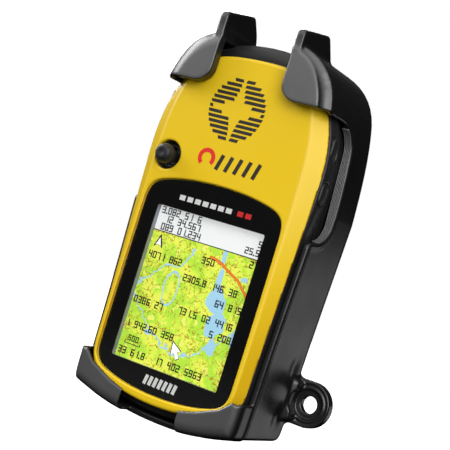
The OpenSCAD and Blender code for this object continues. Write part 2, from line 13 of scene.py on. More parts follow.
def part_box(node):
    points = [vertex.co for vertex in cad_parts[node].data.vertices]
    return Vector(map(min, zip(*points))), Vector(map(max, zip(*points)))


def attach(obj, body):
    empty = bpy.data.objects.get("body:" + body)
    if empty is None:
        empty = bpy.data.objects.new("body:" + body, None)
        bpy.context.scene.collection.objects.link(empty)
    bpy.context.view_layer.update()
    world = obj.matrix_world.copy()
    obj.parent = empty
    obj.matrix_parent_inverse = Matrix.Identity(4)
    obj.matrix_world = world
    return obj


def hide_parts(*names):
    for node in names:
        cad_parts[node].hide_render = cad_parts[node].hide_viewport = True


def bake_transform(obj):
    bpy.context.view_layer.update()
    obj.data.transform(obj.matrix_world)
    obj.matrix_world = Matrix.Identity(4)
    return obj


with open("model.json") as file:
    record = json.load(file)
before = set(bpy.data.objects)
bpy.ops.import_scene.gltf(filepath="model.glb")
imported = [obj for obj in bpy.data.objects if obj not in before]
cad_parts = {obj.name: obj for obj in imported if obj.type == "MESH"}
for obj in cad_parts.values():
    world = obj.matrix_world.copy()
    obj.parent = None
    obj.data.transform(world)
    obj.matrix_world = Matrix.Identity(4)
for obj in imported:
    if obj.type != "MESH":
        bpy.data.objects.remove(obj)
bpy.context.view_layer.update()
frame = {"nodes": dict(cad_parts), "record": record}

MM = 0.001
ROOT = "cradle_and_case"
BACK_Y = 33.0


def node_mm(node):
    """Box of a CAD node in this script's millimetres."""
    low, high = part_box(node)
    shift = Vector((0, BACK_Y, 0))
    return Vector(low) / MM + shift, Vector(high) / MM + shift


CASE_DEPTH = 30.0
COVER_EDGE = node_mm("side_band")[0].y - 0.1
WALL = 1.8
PLATE = 2.6
RIM_Y = 5.2
PETAL_Y = node_mm("arm_right")[0].y
PETAL_REAR_Y = -0.4
LIP_Y = node_mm("cradle_body")[0].y
ARM_ROOT_Z = node_mm("arm_right")[0].z
TAB_TOP_Z = node_mm("arm_right")[1].z
SCREEN_W, SCREEN_H = 34.4, 43.0
STICK = (-18.5, 35.2)
STICK_HOLE_R = 4.1
LATCH_Z = -20.6

# Right halves of the outlines in the XZ plane, chains of cubic curves from bottom to top
COVER_LINE = [
    (0, -31), (7, -31), (14, -29.8), (19.5, -27.6), (22.8, -26.2), (24.6, -23.5), (24.8, -19),
    (25.2, 0), (26.4, 20), (26.8, 38), (26.8, 47), (25, 56.5), (18.5, 63), (13.5, 66),
    (7, 66.5), (0, 66.5)]
FACE_LINE = [
    (0, -30.5), (7, -30.5), (14, -29.3), (18.6, -27.2), (21.4, -25.8), (22.6, -23), (22.7, -19),
    (23.1, 5), (23, 22), (22.4, 38), (22, 47), (21.2, 56), (16.5, 62.5), (12.5, 65.2),
    (7, 65.8), (0, 65.8)]
BAND_LINE = [
    (0, -33), (8, -33), (14, -32.2), (19.5, -30.2), (22.4, -28.9), (24.5, -25.4), (24.8, -19),
    (25.3, 5), (25.7, 17), (26.3, 25), (28.3, 38), (28.3, 49), (23.4, 57.5), (20.3, 66.4),
    (13, 71.1), (0, 71.1)]
REAR_LINE = [
    (0, -32.4), (8, -32.4), (14, -31.6), (19, -29.6), (22.2, -28.2), (24.3, -24.6), (24.6, -19),
    (25, 5), (25.2, 20), (25.4, 36), (25.4, 47), (24.2, 54), (21.6, 60), (18, 67.5), (11, 69.6),
    (0, 69.6)]
CRADLE_LINE = [
    (0, -35.5), (8, -35.5), (14, -34.8), (20, -33.2), (22.4, -32.5), (24.3, -32.1),
    (25.5, -31.6), (26.9, -31), (26.7, -28.5), (26.9, -20), (27.3, 0), (28.1, 15), (28.7, 31.5),
    (28.3, 42), (27.6, 52), (25.4, 60.2), (22.5, 70), (14, 73.6), (0, 73.8)]
LENS_LINE = [
    (0, -28.2), (7, -28.2), (13, -27.4), (18, -25.6), (20.5, -24.7), (21.7, -23), (21.8, -20),
    (21.9, -8), (21.9, 8), (21.8, 22), (21.7, 26), (20.5, 27.4), (17.5, 28.4), (12, 30),
    (6, 30.5), (0, 30.5)]
CURVE_STEPS = 12


# ---------------------------------------------------------------- outlines and distances

def cubic(p, t):
    s = 1 - t
    return tuple(s ** 3 * a + 3 * s * s * t * b + 3 * s * t * t * c + t ** 3 * d
                 for a, b, c, d in zip(*p))


def chain(points):
    """Points along a chain of cubic curves."""
    line = [cubic(points[i:i + 4], k / CURVE_STEPS)
            for i in range(0, len(points) - 3, 3) for k in range(CURVE_STEPS)]
    return line + [points[-1]]


def half_width(line, z):
    """Half the width of an outline at a height, -1 above and below it."""
    return np.interp(z, [p[1] for p in line], [p[0] for p in line], left=-1, right=-1)


def line_distance(line, u, v):
    """Distance from the points (u, v) to an open line."""
    best = None
    for (a, b), (c, d) in zip(line, line[1:]):
        du, dv = c - a, d - b
        along = np.clip(((u - a) * du + (v - b) * dv) / max(du * du + dv * dv, 1e-12), 0, 1)
        found = (u - a - along * du) ** 2 + (v - b - along * dv) ** 2
        best = found if best is None else np.minimum(best, found)
    return np.sqrt(best)


def outline_distance(points):
    """A function giving the signed distance to an outline, negative inside."""
    half = chain(points)

    def distance(x, z):
        across = np.abs(x)
        away = line_distance(half, across, z)
        return np.where(across < half_width(half, z), -away, away)
    return distance


def polygon_distance(points, u, v):
    """Signed distance to a closed polygon, negative inside."""
    inside = np.zeros(np.broadcast(u, v).shape, bool)
    for (a, b), (c, d) in zip(points, points[1:] + points[:1]):
        if b != d:
            crosses = (b > v) != (d > v)
            inside ^= crosses & (u < a + (v - b) * (c - a) / (d - b))
    away = line_distance(points + points[:1], u, v)
    return np.where(inside, -away, away)


# Sharp-edged intersection and union of two distances
both, either = np.maximum, np.minimum


def meet(a, b, r):
    """Intersection of two distances with the edge between them rounded to radius r."""
    inner = np.minimum(np.maximum(a, b), -r)
    return inner + np.hypot(np.maximum(a + r, 0), np.maximum(b + r, 0))


def cut(a, b, r):
    """The first distance with the second taken away and the edge rounded."""
    return meet(a, -b, r)


def join(a, b, r):
    """Union of two distances with a fillet of radius r."""
    return -meet(-a, -b, r)


def rod(u, v, at, r=0.0):
    """Distance to a round rod, or to its middle line without a radius."""
    return np.hypot(u - at[0], v - at[1]) - r


def block(x, y, z, low, high, r=0.0):
    """Distance to a box with edges rounded to radius r."""
    q = [np.abs(c - (a + b) / 2) - (b - a) / 2 + r for c, a, b in zip((x, y, z), low, high)]
    outer = np.sqrt(sum(np.maximum(c, 0) ** 2 for c in q))
    return outer + np.minimum(np.maximum(np.maximum(q[0], q[1]), q[2]), 0) - r


def smooth_step(t):
    t = np.clip(t, 0, 1)
    return t * t * (3 - 2 * t)


def bump(x, y, z, centre, reach):
    """A soft hill of height 1 around a point."""
    far = sum(((c - m) / s) ** 2 for c, m, s in zip((x, y, z), centre, reach))
    return np.exp(-far)


cradle_d, cover_d, face_d, band_d, rear_d, lens_d = [
    outline_distance(line)
    for line in (CRADLE_LINE, COVER_LINE, FACE_LINE, BAND_LINE, REAR_LINE, LENS_LINE)]


# ---------------------------------------------------------------- meshes from distances

def gradient(field, p, h=0.02):
    at = [p[:, 0], p[:, 1], p[:, 2]]
    slopes = []
    for k in range(3):
        ahead = [c + h * (j == k) for j, c in enumerate(at)]
        behind = [c - h * (j == k) for j, c in enumerate(at)]
        slopes.append((field(*ahead) - field(*behind)) / (2 * h))
    return np.stack(slopes, 1)


def settle(field, p, reach):
    """Moves points onto the surface where the field is zero."""
    for _ in range(2):
        g = gradient(field, p)
        size = np.maximum((g ** 2).sum(1), 1e-6)
        move = field(p[:, 0], p[:, 1], p[:, 2]) / size
        step = g * move[:, None]
        length = np.linalg.norm(step, axis=1)
        step *= np.minimum(1, reach / np.maximum(length, 1e-9))[:, None]
        p = p - step
    return p


def surface(field, low, high, step):
    """Quads over the surface where the field is zero, one vertex in each cell it crosses."""
    axes = [np.arange(a, b + step, step) for a, b in zip(low, high)]
    x, y, z = np.ix_(*axes)
    value = np.broadcast_to(field(x, y, z), [len(a) for a in axes]).astype(np.float32)
    inside = value < 0
    corners = [(i, j, k) for i in (0, 1) for j in (0, 1) for k in (0, 1)]
    shape = [n - 1 for n in value.shape]
    count = sum(inside[tuple(slice(i, i + n) for i, n in zip(c, shape))].astype(np.int8)
                for c in corners)
    active = (count > 0) & (count < 8)
    cells = np.argwhere(active)
    number = np.full(shape, -1, np.int64)
    number[active] = np.arange(len(cells))
    total = np.zeros((len(cells), 3))
    crossings = np.zeros(len(cells))
    for a in corners:
        for b in corners:
            if sum(abs(i - j) for i, j in zip(a, b)) != 1 or a > b:
                continue
            va = value[tuple((cells + a).T)].astype(float)
            vb = value[tuple((cells + b).T)].astype(float)
            crossed = (va < 0) != (vb < 0)
            t = np.where(crossed, va / np.where(crossed, va - vb, 1), 0)
            point = np.array(a) + t[:, None] * (np.array(b) - np.array(a))
            total += point * crossed[:, None]
            crossings += crossed
    verts = np.array(low) + (cells + total / crossings[:, None]) * step
    verts = settle(field, verts, 0.5 * step)
    faces = []
    for axis in range(3):
        others = [k for k in range(3) if k != axis]
        first, second = [slice(None)] * 3, [slice(None)] * 3
        first[axis], second[axis] = slice(None, -1), slice(1, None)
        starts = np.argwhere(inside[tuple(first)] != inside[tuple(second)])
        keep = np.all([(starts[:, k] > 0) & (starts[:, k] < value.shape[k] - 1) for k in others], 0)
        starts = starts[keep]
        ring = []
        for du, dv in ((-1, -1), (0, -1), (0, 0), (-1, 0)):
            shift = np.zeros(3, int)
            shift[others] = du, dv
            ring.append(number[tuple((starts + shift).T)])
        quad = np.stack(ring, 1)
        solid_first = inside[tuple(starts.T)]
        if axis == 1:
            solid_first = ~solid_first
        quad[~solid_first] = quad[~solid_first][:, ::-1]
        faces.append(quad)
    return verts, np.concatenate(faces)


def to_row(points):
    return (np.asarray(points, float) - (0, BACK_Y, 0)) * MM


def in_scene(name, data):
    """An object in the scene for a mesh, a light or a camera."""
    piece = bpy.data.objects.new(name, data)
    bpy.context.scene.collection.objects.link(piece)
    return piece


def mesh_object(name, points, faces, smooth=True):
    """A mesh object from points in millimetres."""
    mesh = bpy.data.meshes.new(name)
    mesh.from_pydata(to_row(points).tolist(), [], [list(map(int, f)) for f in faces])
    mesh.polygons.foreach_set("use_smooth", [smooth] * len(mesh.polygons))
    mesh.update()
    return in_scene(name, mesh)


def part_of(verts, faces, chosen):
    """The chosen faces, with only the vertices they use."""
    used, renumbered = np.unique(faces[chosen], return_inverse=True)
    return verts[used], renumbered.reshape(-1, faces.shape[1])


def dress(piece, body, slot, *nodes, material=None):
    """Gives a piece the material of its slot or the one given, puts it under its body and hides the
    CAD nodes it stands for.
    """
    piece.data.materials.append(material or MATERIALS[slot])
    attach(piece, body)
    if nodes:
        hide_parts(*nodes)


def shell_piece(name, field, low, high, step, body, slot, node):
    """A dressed piece over the surface of a field."""
    dress(mesh_object(name, *surface(field, low, high, step)), body, slot, node)


# ---------------------------------------------------------------- materials

class Nodes:
    """Short forms for building a shader."""

    def __init__(self, name, owner=None, shader="Principled BSDF"):
        self.material = owner or bpy.data.materials.new(name)
        self.material.use_nodes = True
        self.tree = self.material.node_tree
        self.shader = self.tree.nodes[shader]
        self.where = self.add("ShaderNodeTexCoord").outputs
        self.place = self.where["Object"]

    def link(self, a, b):
        self.tree.links.new(a, b)

    def add(self, kind, **values):
        node = self.tree.nodes.new(kind)
        for key, value in values.items():
            if hasattr(node, key):
                setattr(node, key, value)
            else:
                node.inputs[key.replace("_", " ")].default_value = value
        return node

    def fill(self, socket, value):
        """A number, a colour or another node's output into a socket."""
        if isinstance(value, (int, float)):
            socket.default_value = value
        elif isinstance(value, tuple):
            socket.default_value = (*value, 1)
        else:
            self.link(value, socket)

    def set(self, name, value):
        self.fill(self.shader.inputs[name], value)

    def split(self, vector):
        """The X, Y and Z of a vector."""
        node = self.add("ShaderNodeSeparateXYZ")
        self.link(vector, node.inputs[0])
        return node.outputs["X"], node.outputs["Y"], node.outputs["Z"]

    def math(self, operation, *values):
        node = self.add("ShaderNodeMath", operation=operation)
        for socket, value in zip(node.inputs, values):
            self.fill(socket, value)
        return node.outputs[0]

    def times(self, a, b):
        return self.math("MULTIPLY", a, b)

    def noise(self, scale, detail=3.0, place=None, spread=0.0):
        node = self.add("ShaderNodeTexNoise", Scale=scale, Detail=detail, Distortion=spread)
        self.link(place or self.place, node.inputs["Vector"])
        return node.outputs["Fac"]

    def ramp(self, value, stops, smooth=False):
        node = self.add("ShaderNodeValToRGB")
        elements = node.color_ramp.elements
        while len(elements) < len(stops):
            elements.new(0.5)
        for element, (at, colour) in zip(elements, stops):
            element.position = at
            shade = colour if isinstance(colour, tuple) else (colour,) * 3
            element.color = (*shade, 1)
        if smooth:
            node.color_ramp.interpolation = "EASE"
        self.link(value, node.inputs[0])
        return node.outputs[0]

    def mix(self, factor, a, b):
        node = self.add("ShaderNodeMix", data_type="RGBA")
        for k, value in ((0, factor), (6, a), (7, b)):
            self.fill(node.inputs[k], value)
        return node.outputs[2]

    def rough(self, grain, low, high, spread=0.2):
        """Roughness that wanders between two values with a noise."""
        self.set("Roughness", self.ramp(grain, [(0.5 - spread, low), (0.5 + spread, high)]))

    def relief(self, height, strength, depth_mm):
        node = self.add("ShaderNodeBump", Strength=strength, Distance=depth_mm * MM)
        self.link(height, node.inputs["Height"])
        self.link(node.outputs[0], self.shader.inputs["Normal"])


def plastic(name, colour, rough, grain_mm=0.25, relief=0.25, vary=0.15):
    """Moulded plastic: a slightly uneven colour and gloss and a fine moulded grain."""
    n = Nodes(name)
    dark = tuple(c * (1 - vary) for c in colour)
    light = tuple(min(1, c * (1 + vary)) for c in colour)
    n.set("Base Color", n.mix(n.noise(120.0), dark, light))
    n.rough(n.noise(60.0), rough - 0.04, rough + 0.05, 0.15)
    n.set("IOR", 1.49)
    n.relief(n.noise(1 / (grain_mm * MM), 2.0), relief, 0.03)
    return n.material


def cradle_plastic():
    """Satin black moulding; its petals and lips are painted a lighter grey where they face the
    front, a painted light standing in for the front light on them.
    """
    n = Nodes("cradle_black")
    _, facing_y, _ = n.split(n.where["Normal"])
    front = n.ramp(n.times(facing_y, -1.0), [(0.45, 0.0), (0.95, 1.0)], True)
    _, place_y, place_z = n.split(n.place)
    # 0.5 at the flat face and more in front of it; the petals stand further out than the lips
    depth = n.times(place_y, -0.5 / (MM * BACK_Y))
    on_arm = n.math("GREATER_THAN", place_z, 0.05)
    depth = n.math("MULTIPLY_ADD", on_arm, (LIP_Y - 0.9) / (2 * BACK_Y), depth)
    near = n.ramp(depth, [(0.475, 0.12), (0.502, 1.0)], True)
    high = n.ramp(n.times(place_z, 1 / (MM * TAB_TOP_Z)),
                  [(0.0, 0.6), (0.6, 1.0), (0.88, 1.0), (0.94, 0.35)], True)
    # Painted light: mask of the faces that face the front, stand forward and sit below the tab tops
    front = n.times(front, n.times(near, high))
    cloud = n.noise(120.0)
    side = n.mix(cloud, (0.006, 0.006, 0.0065), (0.009, 0.009, 0.0095))
    # Painted light: the lighter grey on the front faces, where the front light falls
    lit_front_grey = n.mix(cloud, (0.108, 0.108, 0.109), (0.128, 0.128, 0.129))
    n.set("Base Color", n.mix(front, side, lit_front_grey))
    n.rough(n.noise(60.0), 0.24, 0.31, 0.15)
    n.set("IOR", 1.52)
    n.relief(n.noise(4200.0, 2.0), 0.08, 0.03)
    return n.material


def rubber(name, colour, rough):
    """Matt rubber with a fine grain."""
    n = Nodes(name)
    n.set("Base Color", n.mix(n.noise(200.0), colour, tuple(c * 1.5 for c in colour)))
    n.rough(n.noise(90.0), rough - 0.06, rough + 0.06)
    n.set("Sheen Weight", 0.04)
    n.relief(n.noise(6500.0, 2.0), 0.3, 0.02)
    return n.material


def metal(name, colour, rough, stretch=(1, 1, 30)):
    """Plated or brushed metal with a fine drawn grain."""
    n = Nodes(name)
    drawn = n.add("ShaderNodeMapping", Scale=stretch)
    n.link(n.place, drawn.inputs["Vector"])
    grain = n.noise(900.0, 4.0, drawn.outputs[0])
    n.set("Base Color", n.mix(grain, tuple(c * 0.82 for c in colour), colour))
    n.set("Metallic", 1.0)
    n.rough(grain, rough - 0.05, rough + 0.08)
    n.relief(grain, 0.12, 0.01)
    return n.material


def yellow_paint():
    """Satin yellow moulding with a faint pearl; its right-facing border is painted lighter and its
    outermost right edge a darker orange: painted light and painted shade.
    """
    n = Nodes("yellow_cover")
    body = n.mix(n.noise(35.0), (0.77, 0.505, 0.006), (0.82, 0.55, 0.010))
    facing_x, _, _ = n.split(n.where["Normal"])
    # Painted light: faces turned to the right (+x) are made lighter
    lit_border = n.ramp(facing_x, [(0.3, 0.0), (0.6, 0.7)], True)
    body = n.mix(lit_border, body, (0.90, 0.605, 0.010))
    # Painted shade: faces turned furthest to the right get a darker orange
    edge = n.ramp(facing_x, [(0.72, 0.0), (0.97, 0.9)], True)
    body = n.mix(edge, body, (0.62, 0.30, 0.0))
    pearl = n.times(n.noise(9000.0, 1.0), 0.14)
    n.set("Base Color", n.mix(pearl, body, (0.90, 0.66, 0.05)))
    n.rough(n.noise(80.0), 0.34, 0.40, 0.15)
    n.set("Specular IOR Level", 0.35)
    n.relief(n.noise(5200.0, 2.0), 0.08, 0.01)
    return n.material


def board_material():
    """Solder mask with lighter copper traces and pads under it."""
    n = Nodes("board_green")
    cells = n.add("ShaderNodeTexVoronoi", feature="DISTANCE_TO_EDGE", Scale=420.0)
    n.link(n.place, cells.inputs["Vector"])
    trace = n.math("LESS_THAN", cells.outputs["Distance"], 0.07)
    n.set("Base Color", n.mix(trace, (0.012, 0.11, 0.045), (0.03, 0.21, 0.085)))
    n.rough(n.noise(300.0), 0.28, 0.4)
    n.relief(trace, 0.3, 0.02)
    return n.material


def clear_pane():
    """Thin clear lens: a glossy skin over see-through plastic."""
    n = Nodes("clear_lens")
    clear = n.add("ShaderNodeBsdfTransparent")
    gloss = n.add("ShaderNodeBsdfGlossy", Roughness=0.06, Color=(1, 1, 1, 1))
    tint = n.mix(n.noise(40.0), (0.97, 0.98, 0.98), (1.0, 1.0, 1.0))
    n.link(tint, clear.inputs["Color"])
    weight = n.add("ShaderNodeLayerWeight", Blend=0.5)
    edge = n.math("MULTIPLY_ADD", n.math("POWER", weight.outputs["Facing"], 5.0), 0.9, 0.03)
    mixer = n.add("ShaderNodeMixShader")
    for k, socket in enumerate((edge, clear.outputs[0], gloss.outputs[0])):
        n.link(socket, mixer.inputs[k])
    out = next(k for k in n.tree.nodes if k.type == "OUTPUT_MATERIAL")
    n.link(mixer.outputs[0], out.inputs["Surface"])
    n.tree.nodes.remove(n.shader)
    return n.material


def glow(name, colour, strength):
    """A small mark on the lit display, or a print mark given a faint painted glow."""
    n = Nodes(name)
    n.set("Base Color", n.mix(n.noise(500.0), tuple(c * 0.9 for c in colour), colour))
    n.set("Roughness", 0.4)
    n.set("Emission Color", colour)
    n.set("Emission Strength", strength)
    return n.material


def printed(name, colour, rough):
    """Printing ink, or the matt tray around the display."""
    n = Nodes(name)
    n.set("Base Color", n.mix(n.noise(900.0), colour, tuple(c * 1.3 + 0.004 for c in colour)))
    n.rough(n.noise(400.0), rough - 0.05, rough + 0.05)
    return n.material


def mask_print():
    """Gloss black print behind the lens, a little greyer towards the foot."""
    n = Nodes("mask_black")
    _, _, place_z = n.split(n.place)
    foot = n.ramp(n.times(place_z, -1 / (MM * SCREEN_H)), [(0.2, 0.0), (0.65, 1.0)], True)
    cloud = n.noise(300.0)
    deep = n.mix(cloud, (0.0008, 0.0008, 0.0009), (0.0011, 0.0011, 0.0012))
    n.set("Base Color", n.mix(foot, deep, (0.008, 0.008, 0.0078)))
    n.rough(cloud, 0.11, 0.15, 0.15)
    return n.material


def map_material():
    """Colour map: land, woods, water, tracks and one main road, all from noise and distances."""
    n = Nodes("screen")
    times = n.times
    x, _, z = [times(part, 1 / MM) for part in n.split(n.place)]

    def plus(a, b):
        return n.math("ADD", a, b)

    def minus(a, b):
        return n.math("SUBTRACT", a, b)

    def away(centre_x, centre_z, half_x=1.0, half_z=1.0):
        """Distance from a point, in units of the two half sizes."""
        dx = n.math("DIVIDE", minus(x, centre_x), half_x)
        dz = n.math("DIVIDE", minus(z, centre_z), half_z)
        return n.math("SQRT", plus(times(dx, dx), times(dz, dz)))

    def line_of(value, half):
        return n.math("LESS_THAN", n.math("ABSOLUTE", value), half)

    wave = minus(n.noise(170.0, 4.0), 0.5)
    ripple = minus(n.noise(420.0, 3.0), 0.5)
    woods = n.noise(210.0, 4.0, spread=0.3)
    land = n.ramp(woods, [(0.40, (0.80, 0.86, 0.10)), (0.49, (0.66, 0.84, 0.07)),
                          (0.56, (0.46, 0.76, 0.05))])
    fields = n.math("GREATER_THAN", n.noise(420.0, 2.0), 0.64)
    land = n.mix(fields, land, (0.86, 0.86, 0.16))

    cells = n.add("ShaderNodeTexVoronoi", feature="DISTANCE_TO_EDGE", Scale=300.0, Randomness=1.0)
    warp = n.add("ShaderNodeVectorMath", operation="MULTIPLY_ADD")
    bends = n.add("ShaderNodeTexNoise", Scale=420.0, Detail=4.0)
    n.link(n.place, bends.inputs["Vector"])
    n.link(bends.outputs["Color"], warp.inputs[0])
    warp.inputs[1].default_value = (0.007, 0.007, 0.007)
    n.link(n.place, warp.inputs[2])
    n.link(warp.outputs[0], cells.inputs["Vector"])
    dash = n.math("GREATER_THAN", n.noise(1100.0, 1.0), 0.45)
    track = times(n.math("LESS_THAN", cells.outputs["Distance"], 0.032), dash)
    picture = n.mix(track, land, (0.42, 0.27, 0.02))

    # Each pool: centre x and z, half sizes, the noise on its shore and how strong that is
    pools = ((8.3, 0.9, 3.0, 3.6, wave, 1.7), (7.2, 6.6, 0.9, 3.2, ripple, 1.4),
             (6.6, 13.0, 0.7, 2.0, ripple, 1.2), (9.8, -5.2, 2.7, 3.4, wave, 1.8),
             (10.6, -10.6, 1.5, 2.6, ripple, 1.8), (16.4, -6.8, 1.1, 2.2, ripple, 1.6),
             (-9.4, -12.8, 1.1, 0.7, ripple, 1.4), (14.4, 8.6, 1.2, 0.8, ripple, 2.6))
    nearest = None
    for *spot, rough, strength in pools:
        shore = plus(away(*spot), times(rough, strength))
        nearest = shore if nearest is None else n.math("MINIMUM", nearest, shore)
    water = n.math("LESS_THAN", nearest, 1.0)
    west = n.math("LESS_THAN", x, -2.5)
    stream = plus(minus(minus(z, times(x, 0.75)), 12.7), times(wave, 11.0))
    brook = n.math("MULTIPLY_ADD", times(x, x), -0.042, plus(z, 15.6))
    brook = plus(brook, times(ripple, 5.0))
    bend = plus(minus(away(-6.6, 0.4, 2.2, 4.6), 1.0), times(wave, 0.9))
    rivers = n.math("MAXIMUM", times(line_of(stream, 0.30), west),
                    n.math("MAXIMUM", line_of(brook, 0.24), line_of(bend, 0.075)))
    blue = (0.36, 0.62, 0.80)
    picture = n.mix(rivers, picture, blue)
    picture = n.mix(water, picture, blue)

    arc = plus(minus(away(-0.8, -11.0), 23.0), times(wave, 2.2))
    east = n.math("GREATER_THAN", x, 2.2)
    picture = n.mix(times(line_of(arc, 0.42), east), picture, (0.45, 0.13, 0.02))
    picture = n.mix(times(line_of(arc, 0.27), east), picture, (0.86, 0.20, 0.02))

    header_z = SCREEN_H / 2 - 6.9
    picture = n.mix(n.math("GREATER_THAN", z, header_z), picture, (0.84, 0.85, 0.85))
    picture = n.mix(line_of(minus(z, header_z), 0.14), picture, (0.02, 0.02, 0.03))

    pixel = n.add("ShaderNodeTexVoronoi", Scale=4200.0, Randomness=0.0)
    n.link(n.place, pixel.inputs["Vector"])
    picture = n.mix(times(pixel.outputs["Distance"], 0.10), picture, (0.1, 0.12, 0.1))
    n.set("Base Color", n.mix(0.35, picture, (0.0, 0.0, 0.0)))
    n.set("Emission Color", picture)
    n.set("Emission Strength", 0.66)
    n.set("Roughness", 0.25)
    return n.material


MATERIALS = {
    "cradle_black": cradle_plastic(),
    "case_black": plastic("case_black", (0.010, 0.010, 0.011), 0.42, 0.3, 0.3),
    "yellow_cover": yellow_paint(),
    "clear_lens": clear_pane(),
    "mask_black": mask_print(),
    "rubber_black": rubber("rubber_black", (0.006, 0.006, 0.0065), 0.45),
    "screen": map_material(),
    "diffuser_white": plastic("diffuser_white", (0.85, 0.85, 0.82), 0.5, 0.4, 0.1, 0.04),
    "steel": metal("steel", (0.62, 0.63, 0.65), 0.28),
    "spring_steel": metal("spring_steel", (0.72, 0.72, 0.73), 0.22, (1, 1, 1)),
    "latch_steel": metal("latch_steel", (0.10, 0.10, 0.11), 0.42, (1, 1, 1)),
    "tin_plate": metal("tin_plate", (0.74, 0.75, 0.77), 0.3),
    "flex_amber": plastic("flex_amber", (0.56, 0.25, 0.04), 0.25, 1.0, 0.05),
    "board_green": board_material(),
    "antenna_ceramic": plastic("antenna_ceramic", (0.62, 0.52, 0.36), 0.55, 0.2, 0.3),
    "chip_black": plastic("chip_black", (0.02, 0.02, 0.02), 0.6, 0.15, 0.4),
    "cell_blue": plastic("cell_blue", (0.05, 0.16, 0.36), 0.22, 1.5, 0.04),
}


def dress_frame():
    """Every CAD node gets the material of its own slot."""
    for row in frame["record"]["subparts"]:
        mesh = frame["nodes"][row["node"]].data
        mesh.materials.clear()
        mesh.materials.append(MATERIALS[row["material_slot"]])


# ---------------------------------------------------------------- cradle

EAR = (31.4, -18.9)
EAR_Y = (27.6, 30.8)
EAR_R = 6.4
EAR_HOLE_R = 2.4
EAR_SINK_R, EAR_SINK = 4.2, 0.9
EAR_GROOVE_R = 5.3
EAR_RIB_Z = 5.6
WALL_X = 24.5
WINDOW_REAR_Y = 15.3
WINDOW_Z = (21.5, 56.0)
WINDOW_R = 7.0
PETAL_X = 10.7
PETAL_Z = 56.4
PETAL_R = 5.5
COVE_OUT = 1.6
LIP_EDGE_R = 3.4
NOTCH_X = 12.0
TAB_X = (10.8, 13.4)
TAB_Z = 70.9
TAB_CORNER_R = 1.9
TAB_EXTRA_Z = 0.9
TAB_PROFILE = [(PETAL_Y + 0.2 + TAB_CORNER_R, TAB_Z), (PETAL_Y + 0.2 + TAB_CORNER_R, 74.1),
               (10.2, TAB_TOP_Z - TAB_CORNER_R), (14.6, TAB_Z)]
SPLIT_Z = 40
HOLE_X, HOLE_Z, HOLE_R = 15.0, 19.0, 2.2
HEAD_R, HEAD_SINK = 3.9, 1.2
LATCH_HOLE_R = 9.0
REAR_R = 7.0
RIM_BEAD = 0.32
RIM_LINES, RIM_LINE_R, RIM_PITCH = 5, 0.2, 0.42


def front_cut_line():
    """The front edge of the side walls in YZ: rim, S-shaped step and window."""
    sweep = [cubic([(RIM_Y, WINDOW_Z[0]), (6, 25.4), (13.6, 20.8),
                    (WINDOW_REAR_Y, ARM_ROOT_Z + 1.6)], k / 16) for k in range(17)]
    corner = [(WINDOW_REAR_Y - WINDOW_R * (1 - math.cos(a)),
               WINDOW_Z[1] - WINDOW_R * (1 - math.sin(a)))
              for a in [math.radians(7.5 * k) for k in range(13)]]
    return [(RIM_Y, -60), *sweep, *corner]


FRONT_CUT = front_cut_line()
FRONT_CUT_REGION = FRONT_CUT + [(-30, WINDOW_Z[1]), (-30, -60)]
LIP_REGION = [(8.9, -28.9), (14, -27.5), (20.5, -24.7), (23.6, -21.9), (60, -20.5),
              (60, -60), (10.3, -60), (8.9, -34)]


def cradle_field(x, y, z):
    """Walls, floor, back, petals and lips; above SPLIT_Z the front edge is the petals'."""
    ax = np.abs(x)
    line = cradle_d(x, z)
    front_gap = polygon_distance(FRONT_CUT_REGION, y, z)
    rim_bead = RIM_BEAD * np.exp(-((front_gap - 1.0) / 0.75) ** 2) * smooth_step((56 - z) / 6)
    dents = 0.55 * (bump(x, y, z, (27, 22.6, -10.6), (4, 2.4, 3.2))
                    + bump(x, y, z, (27, 22.0, -24.4), (4, 2.4, 3.0)))
    outside = line - rim_bead + 0.22 + dents
    crest_r = 3.0 - 1.2 * smooth_step((z - 62) / 9) + 0.6 * (x < 0)
    cove = rod(outside, y, (COVE_OUT, PETAL_Y - COVE_OUT), np.hypot(crest_r + COVE_OUT, COVE_OUT))
    facet = (outside + PETAL_Y - y + crest_r) * 0.7071
    front_high = meet(outside, PETAL_Y - y, 0.7)
    front_high = np.where(x > 0, cut(front_high, cove, 0.45), meet(front_high, facet, 1.6))
    front_low = meet(outside, LIP_Y - y, LIP_EDGE_R)
    outside = np.where(z > SPLIT_Z, front_high, front_low)
    outside = meet(outside, y - BACK_Y, REAR_R)
    thick = WALL + 0.95 * smooth_step((z - 24) / 5) * smooth_step((58 - z) / 5) \
        * smooth_step((y - 14.6) / 0.6) * smooth_step((21.5 - y) / 4)
    hollow = meet(meet(line + thick, y - (BACK_Y - PLATE), REAR_R - WALL), PETAL_REAR_Y - y, 0.5)
    body = cut(outside, hollow, 0.35)

    lips = polygon_distance(LIP_REGION, ax, z)
    body = cut(body, both(front_gap, -lips), 0.62 + 0.45 * smooth_step((1 - y) / 2))
    petals = meet(PETAL_X - ax, PETAL_Z - z, PETAL_R)
    body = cut(body, both(both(y - PETAL_REAR_Y, -petals), SPLIT_Z - z), 0.5)
    side = NOTCH_X - 1.25 * smooth_step((18 - y) / 3)
    body = cut(body, meet(ax - side, ARM_ROOT_Z - z, 3.0), 0.9)
    return finish_cradle(body, x, y, z, ax)


def tab_distance(x, ax, y, z):
    """One thumb tab: an upright plate with rounded top corners and rounded edges."""
    low = z - np.where(x < 0, TAB_EXTRA_Z, 0) * smooth_step((z - TAB_Z) / 5) * (1 + y / 25)
    profile = polygon_distance(TAB_PROFILE, y, low) - TAB_CORNER_R
    return meet(meet(TAB_X[0] - ax, ax - TAB_X[1], 0.1), profile, 0.7)


